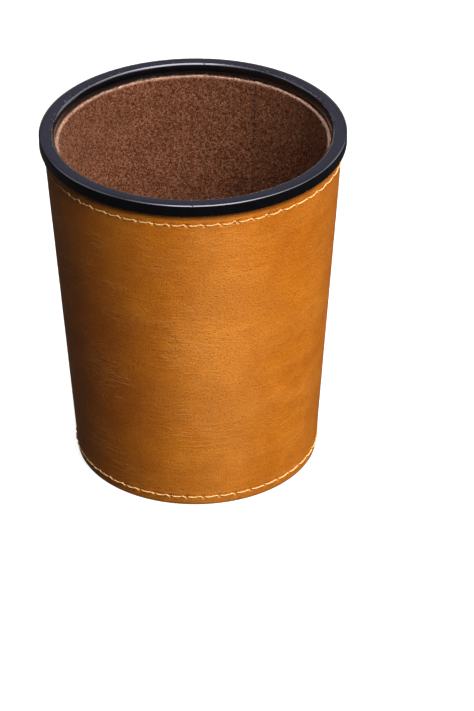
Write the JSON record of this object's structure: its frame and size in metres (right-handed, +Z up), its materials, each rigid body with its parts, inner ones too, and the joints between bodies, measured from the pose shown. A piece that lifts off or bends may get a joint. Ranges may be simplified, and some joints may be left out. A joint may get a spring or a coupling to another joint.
{
  "type": "leather dice cup",
  "caption": "Tapered dice cup: a board tube wrapped in stitched tan leather, lined with brown felt, with a moulded black rim ring and a recessed leather base.",
  "frame": {"origin": "middle of the base, on the surface that the cup stands on", "axes": "+Z up the cup's axis, towards the mouth; +Y towards the butt seams of the wall leather and the wall felt"},
  "size_m": [0.09, 0.09, 0.108],
  "materials": {
    "rim_plastic": "satin",
    "wall_leather": "satin",
    "sole_leather": "matte",
    "board": "matte",
    "felt": "matte",
    "thread": "matte"
  },
  "bodies": {
    "root": {"rim_ring": "rim_plastic", "leather_wall": "wall_leather", "core_tube": "board", "wall_lining": "felt", "base_leather": "sole_leather", "base_board": "board", "base_lining": "felt", "top_seam_thread": "thread", "top_seam_bobbin_thread": "thread", "bottom_seam_thread": "thread", "bottom_seam_bobbin_thread": "thread"}
  },
  "joints": []
}
